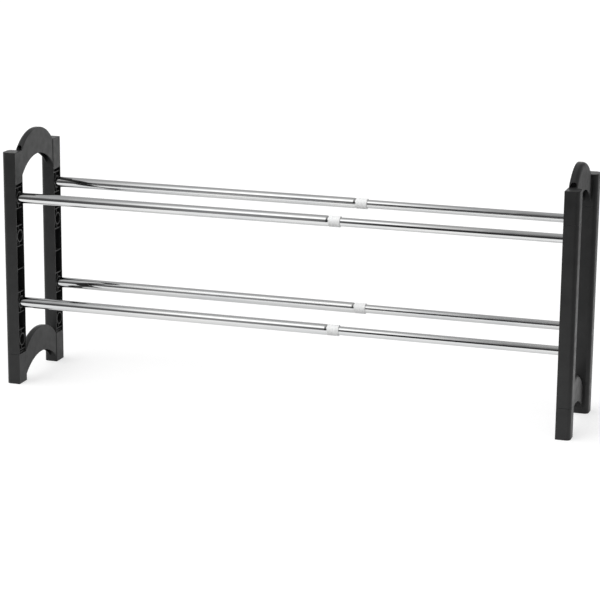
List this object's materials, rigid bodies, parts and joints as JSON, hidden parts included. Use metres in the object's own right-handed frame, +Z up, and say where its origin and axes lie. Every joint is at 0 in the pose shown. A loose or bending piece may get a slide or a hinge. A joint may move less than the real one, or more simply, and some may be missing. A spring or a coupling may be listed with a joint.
{
  "type": "pull out shoe rack",
  "caption": "Two-tier extending shoe rack: two black moulded end frames joined by telescopic chrome rods, one frame pulling out to lengthen it.",
  "frame": {"origin": "on the floor under the middle of the rack as set in the picture", "axes": "+X along the rods towards the frame that pulls out, +Y to the rear, +Z up"},
  "size_m": [0.858, 0.1616, 0.378],
  "materials": {
    "frame_plastic": "fine satin moulded black",
    "tube_chrome": "bright chrome plate on steel tube",
    "collar_plastic": "clear, slightly milky moulded plastic",
    "glide_plastic": "natural white moulded plastic"
  },
  "bodies": {
    "left_frame": {"left_front_upright": "frame_plastic", "left_rear_upright": "frame_plastic", "left_top_arch": "frame_plastic", "left_foot_arch": "frame_plastic", "outer_tube_top_front": "tube_chrome", "outer_tube_top_rear": "tube_chrome", "outer_tube_low_front": "tube_chrome", "outer_tube_low_rear": "tube_chrome", "collar_top_front": "collar_plastic", "collar_top_rear": "collar_plastic", "collar_low_front": "collar_plastic", "collar_low_rear": "collar_plastic"},
    "right_frame": {"right_front_upright": "frame_plastic", "right_rear_upright": "frame_plastic", "right_top_arch": "frame_plastic", "right_foot_arch": "frame_plastic", "inner_tube_top_front": "tube_chrome", "inner_tube_top_rear": "tube_chrome", "inner_tube_low_front": "tube_chrome", "inner_tube_low_rear": "tube_chrome", "glide_top_front": "glide_plastic", "glide_top_rear": "glide_plastic", "glide_low_front": "glide_plastic", "glide_low_rear": "glide_plastic"}
  },
  "joints": [
    {"name": "pull_out", "type": "slide", "parent": "left_frame", "child": "right_frame", "axis": [1, 0, 0], "range_m": [-0.3187, 0.1181]}
  ]
}
